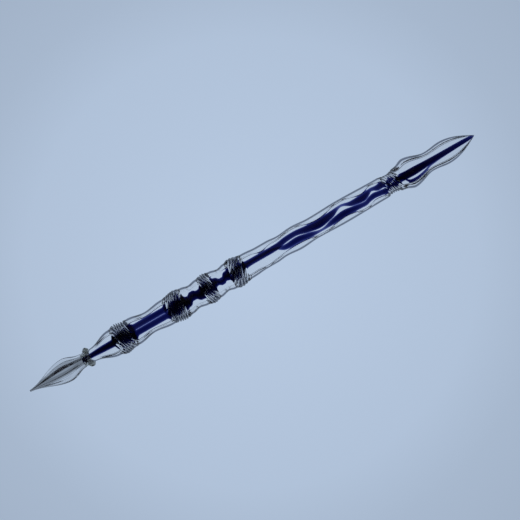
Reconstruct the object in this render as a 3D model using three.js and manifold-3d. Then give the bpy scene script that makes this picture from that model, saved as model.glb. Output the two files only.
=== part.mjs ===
// A lampworked glass dip pen lying on its side, in millimetres.
// X runs along the pen from the nib (-X) to the finial (+X), Z is up, and the pen rests on Z = 0.
// Every worked length of the body is two layers of glass: a ribbed clear casing over a navy core,
// and the core is two navy rods fused side by side. Casing and core twist together.

import * as THREE from "three";
import * as BufferGeometryUtils from "three/addons/utils/BufferGeometryUtils.js";
import Module from "manifold-3d";

const wasm = await Module();
wasm.setup();

// Overall sizes.
const PEN_LENGTH = 175;
const AXIS_HEIGHT = 5.3;         // the widest knots are ground flat this far below the pen's axis
const RIBS = 8;
const POINTS_PER_RIB = 2;        // one on the crest and one in the groove
const RIB_DEPTH = 0.07;          // groove depth, as a share of the radius
const SECTION_SPACING = 2.2;
const SECTIONS_PER_TURN = 16;    // in a twisted length, one section for each step round the ribs

// The core: two rods, each this radius and this far off the axis, as shares of the casing's radius.
const ROD_RADIUS = 0.19;
const ROD_OFFSET = 0.16;
const CORE_POINTS = 12;
const CORE_CLEARANCE = 0.04;     // room left round the core, where the real glass is fused
const BORE_OVERSHOOT = 0.5;
const TIP_WALL = 1.6;            // clear glass left beyond the core at the finial's tip

// The nib.
const NIB_LENGTH = 20.9;
const NIB_BELLY = 4.25;
const NIB_BELLY_AT = 14.4;
const NIB_END = 2.5;
const NIB_FLUTES = 8;
const NIB_FLUTE_DEPTH = 0.18;
const NIB_TURNED = 0.16;         // in turns, how far round the first flute's crest is
const NIB_SECTION_SPACING = 1.1;
const POINT_RADIUS = 0.32;       // both ends of the pen are this blunt

// The collar: a thin thread and a thick twisted wrap round the neck's stub, where the nib is fused on.
const COLLAR_THREAD = { centre: 21.5, width: 1.02, height: 0.68, radius: 2.08, ropeDepth: 0, twists: 0 };
const COLLAR_WRAP = { centre: 23.1, width: 2.1, height: 1.76, radius: 2.72, ropeDepth: 0.12, twists: 9 };
const WRAP_STEPS = 36;
const WRAP_SIDES = 8;

// The worked lengths of the body, in order from the nib. radii lists [distance from the length's
// start, outer radius]; between two of them the outline eases like a half wave. turns is how far the
// length twists from end to end, and sway how far it swings to one side and back, both in turns.
// The two rods start one above the other, a quarter of a turn round.
const FIRST_TURNED = 0.25;
const LENGTHS = [
  {
    name: "neck", length: 12.1, turns: 0, ribsFadeIn: true,
    radii: [[0, 1.68], [2.6, 1.68], [3.7, 2.4], [12.1, 4.8]],
  },
  { name: "knot_1", length: 7.8, turns: 0.75, radii: [[0, 4.8], [2.8, 5.65], [6.2, 5.05], [7.8, 4.95]] },
  { name: "grip", length: 13, turns: 0, sway: 0.04, radii: [[0, 4.95], [6.2, 3.92], [13, 4.75]] },
  { name: "knot_2", length: 8, turns: -0.75, radii: [[0, 4.75], [5, 5.58], [8, 4.95]] },
  { name: "link_1", length: 5.6, turns: 0, sway: -0.06, radii: [[0, 4.95], [2.7, 4.36], [5.6, 4.9]] },
  { name: "knot_3", length: 5.7, turns: 0.5, radii: [[0, 4.9], [2.7, 5.55], [5.7, 4.9]] },
  { name: "link_2", length: 5.1, turns: 0, sway: 0.06, radii: [[0, 4.9], [2.8, 4.29], [5.1, 4.8]] },
  { name: "knot_4", length: 7.4, turns: -0.5, radii: [[0, 4.8], [2.5, 5.45], [7.4, 4.6]] },
  {
    name: "shaft", length: 52.9, turns: 0.25, sway: 0.05,
    radii: [[0, 4.6], [5.5, 4.22], [9.5, 4.22], [13.4, 3.88], [19.2, 4.32], [25.7, 3.88], [37, 4.19],
      [52.9, 3.9]],
  },
  { name: "knot_5", length: 6.8, turns: 0.75, radii: [[0, 3.9], [3, 3.6], [6.8, 4.3]] },
  {
    name: "finial", length: 29.7, turns: 0, tipFrom: 17.8,
    radii: [[0, 4.3], [3.7, 5.5], [11.8, 3.58], [17.8, 4.19]],
  },
];

const CLEAR = new THREE.MeshStandardMaterial({ color: 0xc4d0e0, roughness: 0.03, metalness: 0 });
const NIB_GLASS = new THREE.MeshStandardMaterial({ color: 0xa2afc0, roughness: 0.05, metalness: 0 });
const NAVY = new THREE.MeshStandardMaterial({ color: 0x0a1048, roughness: 0.03, metalness: 0 });
const COLLAR_GLASS = new THREE.MeshStandardMaterial({ color: 0x5c6054, roughness: 0.12, metalness: 0 });

const ease = (share) => (1 - Math.cos(Math.PI * share)) / 2;

// The value at a distance along a list of [distance, value] stations.
function easedValue(stations, distance) {
  const next = stations.findIndex(([at]) => at >= distance);
  if (next <= 0) return stations[next === 0 ? 0 : stations.length - 1][1];
  const [startAt, start] = stations[next - 1];
  const [endAt, end] = stations[next];
  return start + (end - start) * ease((distance - startAt) / (endAt - startAt));
}

// A solid lofted through rings of points, closed by a fan at each end. The sides' diagonals lean
// against the twist, so that a ribbed length stays smooth.
function loft(rings, twist = 1) {
  const count = rings[0].length;
  const centre = (ring) => ring.reduce((sum, point) => sum.add(point), new THREE.Vector3()).divideScalar(count);
  const points = [...rings.flat(), centre(rings[0]), centre(rings[rings.length - 1])];
  const startCentre = points.length - 2;
  const endCentre = points.length - 1;
  const lastRing = (rings.length - 1) * count;
  const faces = [];
  for (let side = 0; side < count; side++) {
    const next = (side + 1) % count;
    faces.push(startCentre, next, side);
    faces.push(endCentre, lastRing + side, lastRing + next);
    for (let ring = 0; ring < rings.length - 1; ring++) {
      const here = ring * count;
      const there = here + count;
      if (twist < 0) {
        faces.push(here + side, here + next, there + next);
        faces.push(here + side, there + next, there + side);
      } else {
        faces.push(here + side, here + next, there + side);
        faces.push(here + next, there + next, there + side);
      }
    }
  }
  const geometry = new THREE.BufferGeometry().setFromPoints(points);
  geometry.setIndex(faces);
  return geometry;
}

// A closed ring of sections, such as a thread laid round the pen.
function closedRing(rings) {
  const count = rings[0].length;
  const faces = [];
  rings.forEach((_, ring) => {
    const here = ring * count;
    const there = ((ring + 1) % rings.length) * count;
    for (let side = 0; side < count; side++) {
      const next = (side + 1) % count;
      faces.push(here + side, there + side, here + next);
      faces.push(here + next, there + side, there + next);
    }
  });
  const geometry = new THREE.BufferGeometry().setFromPoints(rings.flat());
  geometry.setIndex(faces);
  return geometry;
}

function toSolid(geometry) {
  const mesh = BufferGeometryUtils.mergeVertices(geometry, 1e-5);
  return new wasm.Manifold(new wasm.Mesh({
    numProp: 3,
    vertProperties: new Float32Array(mesh.attributes.position.array),
    triVerts: new Uint32Array(mesh.index.array),
  }));
}

function toGeometry(solid) {
  const mesh = solid.getMesh();
  const geometry = new THREE.BufferGeometry();
  geometry.setAttribute("position", new THREE.BufferAttribute(mesh.vertProperties, 3));
  geometry.setIndex(new THREE.BufferAttribute(mesh.triVerts, 1));
  geometry.computeVertexNormals();
  return geometry;
}

// Everything below the resting plane, to grind the flats that stop the pen rolling.
function belowTable() {
  const depth = 4;
  const slab = new THREE.BoxGeometry(PEN_LENGTH * 1.2, PEN_LENGTH * 0.2, depth);
  slab.translate(0, 0, -depth / 2);
  slab.deleteAttribute("normal");
  slab.deleteAttribute("uv");
  return toSolid(slab);
}

function sectionPoint(along, radius, angle) {
  return new THREE.Vector3(
    along - PEN_LENGTH / 2,
    radius * Math.cos(angle),
    AXIS_HEIGHT + radius * Math.sin(angle),
  );
}

// A round-ish section: sides points at the radius that radiusAt gives for each angle round the pen.
function section(along, sides, turned, radiusAt) {
  return Array.from({ length: sides }, (_, side) => {
    const angle = (2 * Math.PI * side) / sides;
    return sectionPoint(along, radiusAt(angle), angle + turned);
  });
}

function ribbedSection(along, radius, ribs, depth, turned) {
  const groove = (angle) => (depth * (1 - Math.cos(ribs * angle))) / 2;
  return section(along, ribs * POINTS_PER_RIB, turned, (angle) => radius * (1 - groove(angle)));
}

// The outline of two rods fused side by side, grown by extra all round.
function twinRodSection(along, casingRadius, turned, extra) {
  const offset = ROD_OFFSET * casingRadius;
  const rod = ROD_RADIUS * casingRadius;
  const reach = (angle) => offset * Math.abs(Math.cos(angle))
    + Math.sqrt(rod ** 2 - (offset * Math.sin(angle)) ** 2);
  return section(along, CORE_POINTS, turned, (angle) => reach(angle) + extra);
}

function outerRadius(piece, distance) {
  if (piece.tipFrom === undefined || distance <= piece.tipFrom) return easedValue(piece.radii, distance);
  const toTip = (piece.length - distance) / (piece.length - piece.tipFrom);
  const tipBulge = piece.radii[piece.radii.length - 1][1];
  return Math.max(tipBulge * Math.sin((Math.PI / 2) * toTip), POINT_RADIUS);
}

function turnedAt(piece, distance) {
  const share = distance / piece.length;
  const sway = (piece.sway ?? 0) * Math.sin(Math.PI * share);
  return 2 * Math.PI * (piece.turned + piece.turns * ease(share) + sway);
}

function ribDepthAt(piece, distance) {
  return piece.ribsFadeIn ? RIB_DEPTH * ease(distance / piece.length) : RIB_DEPTH;
}

// Distances of a piece's sections from its start: even ones, or closer where it twists faster.
function sectionsAlong(length, spacing, turns) {
  const evenSteps = Math.max(2, Math.round(length / spacing));
  const twistSteps = Math.round(Math.abs(turns) * SECTIONS_PER_TURN);
  if (twistSteps <= evenSteps) {
    return Array.from({ length: evenSteps + 1 }, (_, step) => (length * step) / evenSteps);
  }
  const easedBack = (share) => Math.acos(1 - 2 * share) / Math.PI;
  return Array.from({ length: twistSteps + 1 }, (_, step) => length * easedBack(step / twistSteps));
}

// The navy core of one worked length; with extra room it is the bore that the core fills.
function coreSolid(piece, extra) {
  const pointed = piece.tipFrom !== undefined;
  const reach = pointed ? piece.length - TIP_WALL + extra : piece.length;
  const rings = sectionsAlong(reach, SECTION_SPACING, piece.turns).map((distance) => twinRodSection(
    piece.start + distance, outerRadius(piece, distance), turnedAt(piece, distance), extra,
  ));
  if (extra > 0) {
    const overshoot = new THREE.Vector3(BORE_OVERSHOOT, 0, 0);
    rings.unshift(rings[0].map((point) => point.clone().sub(overshoot)));
    if (!pointed) rings.push(rings[rings.length - 1].map((point) => point.clone().add(overshoot)));
  }
  return toSolid(loft(rings, piece.turns));
}

function casingSolid(piece) {
  const rings = sectionsAlong(piece.length, SECTION_SPACING, piece.turns).map((distance) => ribbedSection(
    piece.start + distance, outerRadius(piece, distance), RIBS, ribDepthAt(piece, distance),
    turnedAt(piece, distance),
  ));
  return toSolid(loft(rings, piece.turns))
    .subtract(coreSolid(piece, CORE_CLEARANCE))
    .subtract(belowTable());
}

function nibRadius(distance) {
  if (distance > NIB_BELLY_AT) {
    return easedValue([[NIB_BELLY_AT, NIB_BELLY], [NIB_LENGTH, NIB_END]], distance);
  }
  const share = distance / NIB_BELLY_AT;
  const swell = 0.8 * ease(share) + 0.2 * Math.sin((Math.PI / 2) * share);
  return POINT_RADIUS + (NIB_BELLY - POINT_RADIUS) * swell;
}

// The fluted nib: a blunt point, a full belly, and straight flutes that run its whole length.
function nibSolid() {
  const rings = sectionsAlong(NIB_LENGTH, NIB_SECTION_SPACING, 0).map((distance) => ribbedSection(
    distance, nibRadius(distance), NIB_FLUTES, NIB_FLUTE_DEPTH, 2 * Math.PI * NIB_TURNED,
  ));
  return toSolid(loft(rings));
}

// A ring of glass laid round the pen; a rope of two threads has a two-lobed section that twists.
function ringSolid({ centre, width, height, radius, ropeDepth, twists }) {
  const rings = Array.from({ length: WRAP_STEPS }, (_, step) => {
    const round = (2 * Math.PI * step) / WRAP_STEPS;
    return Array.from({ length: WRAP_SIDES }, (_, side) => {
      const angle = (2 * Math.PI * side) / WRAP_SIDES;
      const lobe = 1 - ropeDepth * (1 - Math.cos(2 * angle - twists * round));
      const along = centre + (width / 2) * lobe * Math.sin(angle);
      return sectionPoint(along, radius + (height / 2) * lobe * Math.cos(angle), round);
    });
  });
  return toSolid(closedRing(rings));
}

function addMesh(group, name, solid, material) {
  const mesh = new THREE.Mesh(toGeometry(solid), material);
  mesh.name = name;
  group.add(mesh);
}

const pen = new THREE.Group();
addMesh(pen, "nib", nibSolid(), NIB_GLASS);
addMesh(pen, "collar_thread", ringSolid(COLLAR_THREAD), COLLAR_GLASS);
addMesh(pen, "collar_wrap", ringSolid(COLLAR_WRAP), COLLAR_GLASS);

let start = NIB_LENGTH;
let turned = FIRST_TURNED;
for (const length of LENGTHS) {
  const piece = { ...length, start, turned };
  addMesh(pen, `${piece.name}_casing`, casingSolid(piece), CLEAR);
  addMesh(pen, `${piece.name}_core`, coreSolid(piece, 0), NAVY);
  start += piece.length;
  turned += piece.turns;
}

export default pen;
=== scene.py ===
"""A lampworked glass dip pen on a pale blue ground, seen from straight above."""

import math

import bpy
import numpy as np
from mathutils import Matrix, Vector

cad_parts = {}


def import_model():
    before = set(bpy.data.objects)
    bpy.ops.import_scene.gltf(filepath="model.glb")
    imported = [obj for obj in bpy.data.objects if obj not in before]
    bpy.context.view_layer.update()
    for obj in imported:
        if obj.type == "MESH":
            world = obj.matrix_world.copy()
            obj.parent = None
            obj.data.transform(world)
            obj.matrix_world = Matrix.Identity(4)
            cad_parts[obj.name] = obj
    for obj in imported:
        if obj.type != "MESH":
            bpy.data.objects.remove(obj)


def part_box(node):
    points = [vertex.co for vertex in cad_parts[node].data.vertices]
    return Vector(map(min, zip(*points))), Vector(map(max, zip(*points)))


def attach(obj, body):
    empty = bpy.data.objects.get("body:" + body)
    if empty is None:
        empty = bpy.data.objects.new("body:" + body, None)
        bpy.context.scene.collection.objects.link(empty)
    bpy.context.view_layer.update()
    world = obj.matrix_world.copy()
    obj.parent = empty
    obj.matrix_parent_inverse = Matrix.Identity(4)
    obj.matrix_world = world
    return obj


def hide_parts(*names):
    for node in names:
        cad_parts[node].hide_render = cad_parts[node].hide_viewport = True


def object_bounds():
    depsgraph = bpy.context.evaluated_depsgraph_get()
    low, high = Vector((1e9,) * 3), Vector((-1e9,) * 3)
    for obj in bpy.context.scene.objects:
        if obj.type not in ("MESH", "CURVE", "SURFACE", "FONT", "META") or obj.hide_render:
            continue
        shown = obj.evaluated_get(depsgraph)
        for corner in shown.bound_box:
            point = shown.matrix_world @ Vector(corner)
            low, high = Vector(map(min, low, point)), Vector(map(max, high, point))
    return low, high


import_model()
cad_low, cad_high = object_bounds()

MM = 0.001
TURN = 2 * math.pi

# The pen lies along X with its nib towards -X. Places along it are in mm from the nib's point.
PEN_LENGTH = (cad_high[0] - cad_low[0]) / MM
NIB_POINT_X = cad_low[0]
AXIS_HEIGHT = 5.3
POINT_RADIUS = 0.32

# Fineness of the glass meshes: mm between rings, and sides round them. The casing stays under the 200,000
# faces above which the export thins a piece.
CALM_SPACING = 0.5
KNOT_SPACING = 0.17
NIB_SPACING = 0.22
CASING_SIDES = 200
ROD_SIDES = 40
NIB_SIDES = 240

# How many ribs run along the clear casing, with a groove between each two.
RIBS = 8

# The two navy rods at places along the pen: (mm from the nib's point, first rod's radius, its distance
# off the axis, second rod's radius, its distance off the axis, sideways shift of both), all in mm.
# The rods are thick in the knots, even in the grip, and wave past each other in the shaft. The small
# knots' sideways shift is given at each place.
BIG_KNOT_RODS = (1.95, 0.30, 1.15, 1.55, 0.0)
SMALL_KNOT_RODS = (1.85, 0.30, 1.10, 1.50)
GRIP_RODS = (0.74, 0.74, 0.74, 0.74, 0.05)
LINK_1_ARCH = (1.15, 0.10, 0.25, 0.90, 0.30)
LINK_2_DIP = (0.88, 0.10, 0.25, 0.70, -0.14)
LINK_2_ENDS = (1.05, 0.10, 0.30, 0.90, 0.40)
RODS = [
    (21, 0.57, 0.20, 0.42, 0.50, 0.05),
    (29, 0.82, 0.20, 0.45, 0.80, 0.05),
    (33, 0.95, 0.30, 0.60, 1.10, 0.0),
    (34.5, *BIG_KNOT_RODS),
    (39.8, *BIG_KNOT_RODS),
    (41.8, *GRIP_RODS),
    (53, *GRIP_RODS),
    (55.2, *BIG_KNOT_RODS),
    (60.7, *BIG_KNOT_RODS),
    (61.9, 1.30, 0.10, 0.30, 0.90, -0.35),
    (63.4, *LINK_1_ARCH),
    (65.2, *LINK_1_ARCH),
    (66.8, 1.30, 0.10, 0.30, 0.90, -0.30),
    (69, *SMALL_KNOT_RODS, 0.10),
    (72, *SMALL_KNOT_RODS, 0.10),
    (73.2, *LINK_2_ENDS),
    (74.7, *LINK_2_DIP),
    (76.2, *LINK_2_DIP),
    (77.6, *LINK_2_ENDS),
    (80, *SMALL_KNOT_RODS, 0.10),
    (83.4, *SMALL_KNOT_RODS, 0.15),
    (85.6, 0.86, 0.20, 0.30, 0.92, 0.38),
    (88, 0.80, 0.20, 0.28, 0.90, 0.42),
    (96, 0.80, 0.20, 0.28, 0.90, 0.40),
    (100, 0.72, 0.70, 0.62, 0.80, 0.15),
    (104.5, 0.66, 1.00, 0.76, 0.56, 0.0),
    (109, 0.86, 0.52, 0.66, 1.00, 0.0),
    (113.7, 1.00, 0.16, 0.32, 1.38, 0.0),
    (119, 0.80, 0.62, 0.72, 0.94, 0.0),
    (123.1, 0.32, 1.28, 0.82, 0.68, 0.0),
    (126.9, 0.66, 0.48, 0.70, 0.88, 0.0),
    (131, 0.86, 0.32, 0.56, 1.12, 0.0),
    (133, 0.72, 0.64, 0.62, 0.72, 0.0),
    (134.8, 0.46, 1.03, 0.68, 0.53, 0.0),
    (137, 0.70, 0.66, 0.66, 0.72, 0.0),
    (140, 0.85, 0.85, 0.75, 1.00, 0.0),
    (144, 0.85, 0.85, 0.75, 1.00, 0.0),
    (147, 0.98, 0.10, 0.45, 1.50, -0.12),
    (150, 0.96, 0.0, 0.50, 1.95, -0.16),
    (153, 0.86, 0.0, 0.30, 1.45, -0.14),
    (157, 0.74, 0.0, 0.22, 0.80, -0.10),
    (163, 0.64, 0.0, 0.18, 0.55, -0.05),
    (170, 0.52, 0.0, 0.14, 0.35, 0.0),
    (173.5, 0.36, 0.0, 0.10, 0.15, 0.0),
    (174.6, 0.12, 0.0, 0.06, 0.0, 0.0),
]

# How much taller than wide the rods are at places along the pen: flattened in the first four knots.
ROUND = 1.0
KNOT_FLAT = 0.65
FINIAL_TALL = 1.5
ROD_TALLNESS = [
    (33, ROUND), (35, KNOT_FLAT), (39.3, KNOT_FLAT), (41.5, ROUND),
    (53.3, ROUND), (55.5, KNOT_FLAT), (60.3, KNOT_FLAT), (62.5, ROUND),
    (67.2, ROUND), (69, KNOT_FLAT), (72, KNOT_FLAT), (73.8, ROUND),
    (78, ROUND), (80, KNOT_FLAT), (84, KNOT_FLAT), (86, ROUND),
    (144, ROUND), (149, FINIAL_TALL), (175, FINIAL_TALL),
]

# The grooves between the ribs: (depth as a share of the radius, width in degrees, how deep every other
# groove is beside its neighbours). Then where along the pen each kind is reached, in mm from the nib's point.
CALM_GROOVES = (0.055, 4, 0)
GRIP_GROOVES = (0.045, 4, 0)
LINK_GROOVES = (0.03, 5, 0)
FINIAL_GROOVES = (0.08, 5, 0)
KNOT_GROOVES = (0.32, 9, 1)
LAST_KNOT_GROOVES = (0.16, 17, 1)
GROOVES = [
    (24.2, 0, 6, 0), (30, *CALM_GROOVES), (33.4, *CALM_GROOVES), (35, *KNOT_GROOVES), (39.4, *KNOT_GROOVES),
    (41, *GRIP_GROOVES), (53.8, *GRIP_GROOVES), (55.4, *KNOT_GROOVES), (59.8, *KNOT_GROOVES),
    (61.4, *LINK_GROOVES), (67.6, *LINK_GROOVES), (69, *KNOT_GROOVES), (71.5, *KNOT_GROOVES),
    (72.9, *LINK_GROOVES), (78.4, *LINK_GROOVES), (79.8, *KNOT_GROOVES), (83.8, *KNOT_GROOVES),
    (85.4, *CALM_GROOVES), (138.5, *CALM_GROOVES), (140, *LAST_KNOT_GROOVES), (143.8, *LAST_KNOT_GROOVES),
    (145.5, *FINIAL_GROOVES), (175, *FINIAL_GROOVES),
]

# Outline of each worked length: (mm from its start, radius in mm).
OUTLINES = {
    "neck": [(0, 1.68), (2.6, 1.68), (3.7, 2.4), (12.1, 4.8)],
    "knot_1": [(0, 4.8), (2.8, 5.65), (6.2, 5.05), (7.8, 4.95)],
    "grip": [(0, 4.95), (6.2, 3.92), (13, 4.75)],
    "knot_2": [(0, 4.75), (5, 5.58), (8, 4.95)],
    "link_1": [(0, 4.95), (2.7, 4.36), (5.6, 4.9)],
    "knot_3": [(0, 4.9), (2.7, 5.55), (5.7, 4.9)],
    "link_2": [(0, 4.9), (2.8, 4.29), (5.1, 4.8)],
    "knot_4": [(0, 4.8), (2.5, 5.45), (7.4, 4.6)],
    "shaft": [
        (0, 4.6), (5.5, 4.22), (9.5, 4.22), (13.4, 3.88), (19.2, 4.32), (25.7, 3.88), (37, 4.19), (52.9, 3.9),
    ],
    "knot_5": [(0, 3.9), (3, 3.6), (6.8, 4.3)],
    "finial": [(0, 4.3), (3.7, 5.5), (11.8, 3.58), (17.8, 4.19)],
}
FINIAL_TIP_FROM = 17.8
GROOVE_AT = math.radians(1.5)
ROD_TIP_WALL = 0.4

# How far the ribs and the rods have turned at places along the pen, in turns. Ribs that have turned by
# whole quarters keep their shallow grooves off the top of the pen, which leaves the core's image whole.
RIBS_TURN = [
    (20, 0.0), (33.5, 0.0), (40.8, 0.75), (54.0, 0.75), (61.4, 0.0), (67.6, 0.0), (72.9, 0.5), (78.4, 0.5),
    (85.4, 0.0), (88, 0.0), (92, 0.03), (96, 0.0), (104.5, -0.03), (113.7, 0.03), (123.1, -0.03), (131, 0.03),
    (134.8, -0.02), (138.5, 0.0), (145.5, 0.75), (175, 0.75),
]
RODS_TURN = [
    (20, 0.25), (33.5, 0.25), (40.8, 1.0), (54.0, 1.0), (61.4, 0.25), (67.6, 0.25), (72.9, 0.75),
    (78.4, 0.75), (85.4, 0.25), (94.1, 0.25), (103, 0.0), (138.5, 0.0), (145.5, 0.75), (149.5, 1.0),
    (175, 1.0),
]

# Cords, the faint streaks along drawn glass: how high they stand, in mm, and where in the noise they are
# faintest and clearest.
CORD_HEIGHT = 0.02
CORD_FROM = 0.35
CORD_TO = 0.65

# Index of refraction. The navy rods don't bend light of their own, so that they stay clean in the casing.
GLASS_IOR = 1.5
NAVY_IOR = 1.0

# The nib's painted shade, a grey band along its middle: how wide the nib is taken to be on each side of its
# middle plane, in mm, and the band's brightness at shares of that.
NIB_SHADE_REACH = 5
NIB_PAINTED_SHADE = [(0.0, 0.39), (0.24, 0.39), (0.32, 1.0)]

# The nib.
NIB_BELLY = 4.25
NIB_BELLY_AT = 14.4
NIB_END = 2.5
NIB_FLUTES = 8
NIB_FLUTE_DEPTH = 0.18
NIB_FLUTE_AT = math.radians(80)
NIB_FLUTE_ROUNDING = 0.05

# The collar's rings: places and sizes in mm as in the CAD, how deeply the wrap's two threads are parted,
# and how often they twist.
COLLAR_THREAD = {"centre": 21.5, "width": 1.02, "height": 0.68, "radius": 2.08, "rope": 0, "twists": 0}
COLLAR_WRAP = {"centre": 23.1, "width": 2.1, "height": 1.76, "radius": 2.72, "rope": 0.24, "twists": 9}

# The pale table, in metres: its half width, its colour, a painted pool of light that sets how bright it is by
# the distance from its middle as a share of the reach, and how far below the pen it lies. It is as bright
# from every direction.
TABLE_SIZE = 3
TABLE_COLOUR = (0.479, 0.591, 0.761, 1)
TABLE_BELOW = 0.02 * MM
TABLE_LIGHT_POOL = [(0.0, 1.0), (0.39, 0.91), (0.51, 0.81), (0.75, 0.72), (1.0, 0.70)]
TABLE_RAMP_REACH = 0.2

# The studio: a dim room and one large soft light, with its place and size in metres and its power in watts.
ROOM_COLOUR = (0.02, 0.02, 0.03, 1)
SOFTBOX_AT = (0.3, 0.4, 0.9)
SOFTBOX_SIZE = 1.0
SOFTBOX_POWER = 0.12

# How often light may bend before it is given up. The cores look speckled with fewer.
MOST_BOUNCES = 24
LEAST_BOUNCES = 16

# The camera: how wide the picture is at the pen, how the pen slopes in it, and how far right of and above
# the picture's middle the pen's middle is.
PICTURE_WIDTH = 177.46
PEN_SLOPE = math.radians(29.95)
PEN_FROM_PICTURE_MIDDLE = (-2.58, -1.02)
LENS = 85
SENSOR_WIDTH = 36


def ease(share):
    return (1 - np.cos(np.pi * share)) / 2


def eased(stations, at):
    """The value at each place along a list of (place, value), easing from one station to the next."""
    places = np.array([place for place, _ in stations], float)
    values = np.array([value for _, value in stations], float)
    index = np.clip(np.searchsorted(places, at, side="right") - 1, 0, len(places) - 2)
    share = np.clip((at - places[index]) / (places[index + 1] - places[index]), 0, 1)
    return values[index] + (values[index + 1] - values[index]) * ease(share)


def flowing(stations, at):
    """Like eased, but level only where the values turn back, so that a steady rise has no steps."""
    places, values = np.array(stations, float).T
    steps = np.diff(values) / np.diff(places)
    slopes = np.zeros(len(places))
    product = steps[:-1] * steps[1:]
    total = steps[:-1] + steps[1:]
    slopes[1:-1] = np.where(product > 0, 2 * product / np.where(total == 0, 1, total), 0)
    which = np.clip(np.searchsorted(places, at, side="right") - 1, 0, len(steps) - 1)
    width = places[which + 1] - places[which]
    share = np.clip((at - places[which]) / width, 0, 1)
    level = values[which] + (values[which + 1] - values[which]) * ease(share)
    leaving = width * slopes[which] * share * (1 - share) ** 2
    arriving = width * slopes[which + 1] * share**2 * (1 - share)
    return level + leaving - arriving


def column_along(way, rows, column, along):
    """One column of a table of rows, at each place along the pen, for the rings of a mesh."""
    return way([(row[0], row[column]) for row in rows], along)[:, None]


def node_span(node):
    """Where a CAD node starts and ends, in mm from the nib's point."""
    low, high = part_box(node)
    return (low.x - NIB_POINT_X) / MM, (high.x - NIB_POINT_X) / MM


SPANS = {name: node_span(name + "_casing") for name in OUTLINES}
STATIONS = [(SPANS[name][0] + place, radius) for name in OUTLINES for place, radius in OUTLINES[name]]
CASING_START = SPANS["neck"][0]
KNOT_SPANS = [span for name, span in SPANS.items() if name.startswith("knot")]
KNOT_MARGIN = 1
TIP_START = SPANS["finial"][0] + FINIAL_TIP_FROM


def casing_radius(along):
    to_tip = np.clip((PEN_LENGTH - along) / (PEN_LENGTH - TIP_START), 0, 1)
    tip = STATIONS[-1][1] * np.sin(np.pi / 2 * to_tip)
    return np.where(along > TIP_START, tip, eased(STATIONS, along))


def groove(along, angles):
    """How far the ribbed surface dips below the outline, as a share of the radius."""
    depth, width, other = [column_along(eased, GROOVES, part, along) for part in (1, 2, 3)]
    spacing = TURN / RIBS
    leaning = angles - ribs_turned(along)[:, None] - GROOVE_AT
    aside = np.mod(leaning + spacing / 2, spacing) - spacing / 2
    share = other + (1 - other) * np.sin(RIBS / 4 * leaning) ** 2
    return depth * share * np.exp(-((aside / np.radians(width)) ** 2))


def ribs_turned(along):
    return TURN * eased(RIBS_TURN, along)


def rods_turned(along):
    return TURN * eased(RODS_TURN, along)


def add_piece(name, vertices, faces, material, slot, *nodes):
    """A smooth mesh of one material that stands for CAD nodes. vertices are in mm, x from the nib's point."""
    mesh = bpy.data.meshes.new(name)
    places = np.asarray(vertices) * MM + np.array([NIB_POINT_X, 0, 0])
    mesh.from_pydata(places.tolist(), [], faces)
    mesh.shade_smooth()
    mesh.materials.append(material)
    piece = bpy.data.objects.new(name, mesh)
    bpy.context.scene.collection.objects.link(piece)
    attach(piece, "root")
    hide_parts(*nodes)
    return piece


def lofted(along, radius, angles, off_y=0, off_z=0, tallness=1):
    """Vertices and faces of a closed body through sections; radius and angles are sections by sides."""
    sections, sides = radius.shape
    x = np.repeat(along[:, None], sides, 1)
    off_y, off_z = np.zeros((sections, 1)) + off_y, np.zeros((sections, 1)) + off_z
    y = off_y + radius * np.cos(angles)
    z = AXIS_HEIGHT + off_z + tallness * radius * np.sin(angles)
    rings = np.stack([x, y, z], -1)
    vertices = np.vstack([rings.reshape(-1, 3), rings[0].mean(0), rings[-1].mean(0)])
    here = (np.arange(sections - 1) * sides)[:, None] + np.arange(sides)
    beside = (np.arange(sections - 1) * sides)[:, None] + (np.arange(sides) + 1) % sides
    faces = np.stack([here, beside, beside + sides, here + sides], -1).reshape(-1, 4).tolist()
    first, last = len(vertices) - 2, len(vertices) - 1
    end = (sections - 1) * sides
    for side in range(sides):
        following = (side + 1) % sides
        faces += [[first, following, side], [last, end + side, end + following]]
    return vertices, faces


def rings_along(start, end):
    """Places for the rings of a body from start to end, closer together in the knots."""
    stops = [start]
    while stops[-1] < end - CALM_SPACING:
        twisted = any(low - KNOT_MARGIN < stops[-1] < high + KNOT_MARGIN for low, high in KNOT_SPANS)
        stops.append(stops[-1] + (KNOT_SPACING if twisted else CALM_SPACING))
    return np.array(stops + [end])


def grid(along, sides):
    return np.linspace(0, TURN, sides, endpoint=False)[None, :] + np.zeros((len(along), 1))


def above_table(radius, angles):
    """Grinds the sections flat where they would reach below the resting plane."""
    lowest = AXIS_HEIGHT / np.maximum(-np.sin(angles), 1e-3)
    return np.where(np.sin(angles) < 0, np.minimum(radius, lowest), radius)


def clear_casing(material):
    along = rings_along(CASING_START, PEN_LENGTH)
    angles = grid(along, CASING_SIDES)
    radius = above_table(casing_radius(along)[:, None] * (1 - groove(along, angles)), angles)
    nodes = [name + "_casing" for name in OUTLINES]
    return add_piece("clear_casing", *lofted(along, radius, angles), material, "clear_glass", *nodes)


def navy_rod(name, which, material):
    """One of the two rods inside a worked length; which is 0 or 1."""
    start, end = node_span(name + "_core")
    if name == "finial":
        end = PEN_LENGTH - ROD_TIP_WALL
    along = rings_along(start, end)
    columns = (1 + 2 * which, 2 + 2 * which, 5)
    rod, apart, aside = [column_along(flowing, RODS, column, along) for column in columns]
    direction = rods_turned(along)[:, None] + which * math.pi
    radius = rod + np.zeros((1, ROD_SIDES))
    off_y = aside + apart * np.cos(direction)
    off_z = apart * np.sin(direction)
    tallness = eased(ROD_TALLNESS, along)[:, None]
    body = lofted(along, radius, grid(along, ROD_SIDES), off_y, off_z, tallness)
    return add_piece(f"{name}_navy_rod_{which + 1}", *body, material, "navy_glass", name + "_core")


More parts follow.
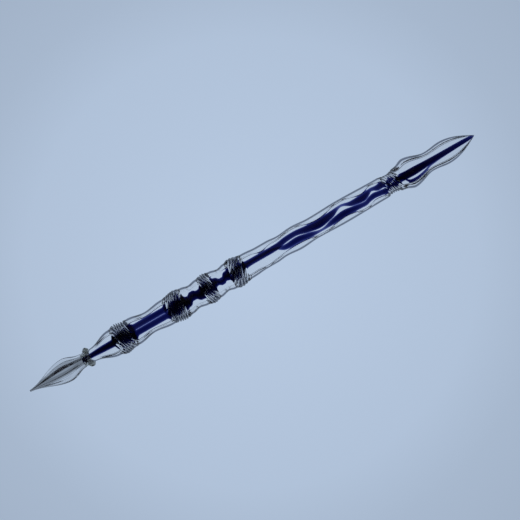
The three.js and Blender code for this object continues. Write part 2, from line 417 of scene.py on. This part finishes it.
def nib_radius(along):
    share = np.clip(along / NIB_BELLY_AT, 0, 1)
    swell = 0.8 * ease(share) + 0.2 * np.sin(np.pi / 2 * share)
    point = POINT_RADIUS + (NIB_BELLY - POINT_RADIUS) * swell
    end = node_span("nib")[1]
    return np.where(along < NIB_BELLY_AT, point, eased([(NIB_BELLY_AT, NIB_BELLY), (end, NIB_END)], along))


def nib(material):
    end = node_span("nib")[1]
    along = np.linspace(0, end, int(end / NIB_SPACING))
    angles = grid(along, NIB_SIDES)
    lean = angles - NIB_FLUTE_AT
    lobe = np.sqrt(np.sin(NIB_FLUTES * lean / 2) ** 2 + NIB_FLUTE_ROUNDING**2)
    radius = nib_radius(along)[:, None] * (1 - NIB_FLUTE_DEPTH * (1 - lobe))
    return add_piece("fluted_nib", *lofted(along, radius, angles), material, "nib_glass", "nib")


def ring_body(centre, width, height, radius, rope, twists, steps=180, sides=28):
    """Vertices and faces of a ring of glass round the pen; a rope's two-lobed section twists."""
    around = np.linspace(0, TURN, steps, endpoint=False)[:, None]
    angle = np.linspace(0, TURN, sides, endpoint=False)[None, :]
    lobe = 1 - rope * (1 - np.cos(2 * angle - twists * around))
    x = centre + width / 2 * lobe * np.sin(angle)
    reach = radius + height / 2 * lobe * np.cos(angle)
    vertices = np.stack([x, reach * np.cos(around), AXIS_HEIGHT + reach * np.sin(around)], -1).reshape(-1, 3)
    here = np.arange(steps)[:, None] * sides + np.arange(sides)
    beside = np.arange(steps)[:, None] * sides + (np.arange(sides) + 1) % sides
    count = steps * sides
    faces = np.stack([here, (here + sides) % count, (beside + sides) % count, beside], -1).reshape(-1, 4)
    return vertices, faces.tolist()


def glass(name, ior, absorbed=None, density=0.0, roughness=0.0):
    """Solid glass. absorbed is the colour that white light takes on in the glass, and density how fast."""
    material = bpy.data.materials.new(name)
    material.use_nodes = True
    nodes, links = material.node_tree.nodes, material.node_tree.links
    shader = nodes["Principled BSDF"]
    shader.inputs["Base Color"].default_value = (1, 1, 1, 1)
    shader.inputs["Roughness"].default_value = roughness
    shader.inputs["IOR"].default_value = ior
    shader.inputs["Transmission Weight"].default_value = 1
    if absorbed:
        absorption = nodes.new("ShaderNodeVolumeAbsorption")
        absorption.inputs["Color"].default_value = (*absorbed, 1)
        absorption.inputs["Density"].default_value = density
        links.new(absorption.outputs["Volume"], nodes["Material Output"].inputs["Volume"])
    return material


def painted_edge_shade(material, shade_colour, start, end):
    """Paints shade into clear glass towards its edges, where the eye looks along the wall: the glass's colour
    is darkened by how its surface faces the eye.
    """
    nodes, links = material.node_tree.nodes, material.node_tree.links
    facing = nodes.new("ShaderNodeLayerWeight")
    facing.inputs["Blend"].default_value = 0.5
    ramp = nodes.new("ShaderNodeValToRGB")
    first, last = ramp.color_ramp.elements
    first.position, first.color = start, (1, 1, 1, 1)
    last.position, last.color = end, (*shade_colour, 1)
    links.new(facing.outputs["Facing"], ramp.inputs["Fac"])
    links.new(ramp.outputs["Color"], nodes["Principled BSDF"].inputs["Base Color"])
    return material


def tinted(material, tint):
    """Multiplies a material's base colour by a node's colour."""
    nodes, links = material.node_tree.nodes, material.node_tree.links
    base = nodes["Principled BSDF"].inputs["Base Color"]
    product = nodes.new("ShaderNodeVectorMath")
    product.operation = "MULTIPLY"
    product.inputs[0].default_value = (1, 1, 1)
    if base.is_linked:
        links.new(base.links[0].from_socket, product.inputs[0])
    links.new(tint, product.inputs[1])
    links.new(product.outputs["Vector"], base)
    return material


def drawn(material, faintest, spacing, length, bump):
    """Faint cords along the pen, as in glass drawn out hot: spacing across and length along, in mm."""
    nodes, links = material.node_tree.nodes, material.node_tree.links
    place = nodes.new("ShaderNodeTexCoord")
    stretched = nodes.new("ShaderNodeMapping")
    stretched.inputs["Scale"].default_value = (spacing / length, 1, 1)
    noise = nodes.new("ShaderNodeTexNoise")
    noise.inputs["Scale"].default_value = 1 / (spacing * MM)
    noise.inputs["Detail"].default_value = 3
    links.new(place.outputs["Object"], stretched.inputs["Vector"])
    links.new(stretched.outputs["Vector"], noise.inputs["Vector"])
    raised = nodes.new("ShaderNodeBump")
    raised.inputs["Strength"].default_value = bump
    raised.inputs["Distance"].default_value = CORD_HEIGHT * MM
    links.new(noise.outputs["Fac"], raised.inputs["Height"])
    links.new(raised.outputs["Normal"], nodes["Principled BSDF"].inputs["Normal"])
    cords = grey_ramp(nodes, links, noise.outputs["Fac"], [(CORD_FROM, faintest), (CORD_TO, 1.0)])
    return tinted(material, cords)


def clear_glass():
    # The clear glass gets painted shade towards its edges.
    material = painted_edge_shade(glass("clear_glass", GLASS_IOR), (0.02, 0.025, 0.045), 0.38, 0.52)
    return drawn(material, 0.98, 0.9, 14, 0.08)


def nib_glass():
    greyish = glass("nib_glass", GLASS_IOR, (0.42, 0.44, 0.44), 30)
    # The nib's glass gets painted shade towards its edges.
    material = painted_edge_shade(greyish, (0.10, 0.11, 0.12), 0.57, 0.74)
    nodes, links = material.node_tree.nodes, material.node_tree.links
    place = nodes.new("ShaderNodeTexCoord")
    parts = nodes.new("ShaderNodeSeparateXYZ")
    links.new(place.outputs["Object"], parts.inputs["Vector"])
    aside = nodes.new("ShaderNodeMath")
    aside.operation = "ABSOLUTE"
    links.new(parts.outputs["Y"], aside.inputs[0])
    widened = nodes.new("ShaderNodeMath")
    widened.operation = "MULTIPLY"
    widened.inputs[1].default_value = 1 / (NIB_SHADE_REACH * MM)
    links.new(aside.outputs["Value"], widened.inputs[0])
    material = drawn(material, 0.95, 0.7, 12, 0.1)
    # Painted shade: a grey band along the nib's middle, darker near its middle plane.
    painted_band = grey_ramp(nodes, links, widened.outputs["Value"], NIB_PAINTED_SHADE)
    return tinted(material, painted_band)


def collar_glass():
    smoky = glass("collar_glass", GLASS_IOR, (0.45, 0.46, 0.38), 600, 0.05)
    # The collar's glass gets painted shade towards its edges.
    material = painted_edge_shade(smoky, (0.12, 0.12, 0.12), 0.5, 0.85)
    return drawn(material, 0.55, 0.35, 0.8, 0.8)


def navy_glass():
    return drawn(glass("navy_glass", NAVY_IOR, (0, 0.066, 0.53), 3700), 0.8, 0.8, 20, 0.0)


def grey_ramp(nodes, links, value, stops):
    """A grey that follows a value through (place, brightness) stops."""
    ramp = nodes.new("ShaderNodeValToRGB")
    elements = ramp.color_ramp.elements
    while len(elements) < len(stops):
        elements.new(1)
    for element, (place, brightness) in zip(elements, stops):
        element.position = place
        element.color = (brightness, brightness, brightness, 1)
    links.new(value, ramp.inputs["Fac"])
    return ramp.outputs["Color"]


def ground():
    mesh = bpy.data.meshes.new("ground")
    corners = [(x * TABLE_SIZE, y * TABLE_SIZE, 0) for x, y in ((-1, -1), (1, -1), (1, 1), (-1, 1))]
    mesh.from_pydata(corners, [], [(0, 1, 2, 3)])
    floor = bpy.data.objects.new("ground", mesh)
    bpy.context.scene.collection.objects.link(floor)
    floor.location.z = -TABLE_BELOW
    material = bpy.data.materials.new("pale_blue_ground")
    material.use_nodes = True
    nodes, links = material.node_tree.nodes, material.node_tree.links
    nodes.remove(nodes["Principled BSDF"])
    light = nodes.new("ShaderNodeEmission")
    light.inputs["Color"].default_value = TABLE_COLOUR
    place = nodes.new("ShaderNodeTexCoord")
    away = nodes.new("ShaderNodeVectorMath")
    away.operation = "LENGTH"
    links.new(place.outputs["Object"], away.inputs[0])
    scaled = nodes.new("ShaderNodeMath")
    scaled.operation = "MULTIPLY"
    scaled.inputs[1].default_value = 1 / TABLE_RAMP_REACH
    links.new(away.outputs["Value"], scaled.inputs[0])
    # Painted pool of light: the table's glow is brightest at its middle and dims with distance from it.
    light_pool = grey_ramp(nodes, links, scaled.outputs["Value"], TABLE_LIGHT_POOL)
    links.new(light_pool, light.inputs["Strength"])
    links.new(light.outputs["Emission"], nodes["Material Output"].inputs["Surface"])
    mesh.materials.append(material)


def world():
    bpy.context.scene.world = bpy.data.worlds.new("dim_studio")
    bpy.context.scene.world.use_nodes = True
    background = bpy.context.scene.world.node_tree.nodes["Background"]
    background.inputs["Color"].default_value = ROOM_COLOUR
    bpy.context.scene.view_settings.view_transform = "Standard"
    cycles = bpy.context.scene.cycles
    cycles.max_bounces = MOST_BOUNCES
    cycles.transmission_bounces = MOST_BOUNCES
    cycles.min_light_bounces = LEAST_BOUNCES


def camera():
    """Looks straight down, turned so that the pen slopes up to the right."""
    view = bpy.data.cameras.new("camera")
    view.lens = LENS
    view.sensor_width = SENSOR_WIDTH
    eye = bpy.data.objects.new("camera", view)
    bpy.context.scene.collection.objects.link(eye)
    aside = Vector(PEN_FROM_PICTURE_MIDDLE) * MM
    aside.rotate(Matrix.Rotation(-PEN_SLOPE, 2))
    height = (AXIS_HEIGHT + PICTURE_WIDTH * LENS / SENSOR_WIDTH) * MM
    eye.location = (-aside.x, -aside.y, height)
    eye.rotation_euler.z = -PEN_SLOPE
    bpy.context.scene.camera = eye


def soft_light(name, place, size, power):
    lamp = bpy.data.lights.new(name, "AREA")
    lamp.size = size
    lamp.energy = power
    light = bpy.data.objects.new(name, lamp)
    bpy.context.scene.collection.objects.link(light)
    light.location = place
    light.rotation_euler = (-Vector(place)).to_track_quat("-Z", "Y").to_euler()


camera()
world()
soft_light("overhead_softbox", SOFTBOX_AT, SOFTBOX_SIZE, SOFTBOX_POWER)
ground()
clear_casing(clear_glass())
navy = navy_glass()
for name in OUTLINES:
    navy_rod(name, 0, navy)
    navy_rod(name, 1, navy)
nib(nib_glass())
collar = collar_glass()
add_piece("collar_thread_ring", *ring_body(**COLLAR_THREAD), collar, "collar_glass", "collar_thread")
add_piece("collar_wrap_ring", *ring_body(**COLLAR_WRAP), collar, "collar_glass", "collar_wrap")
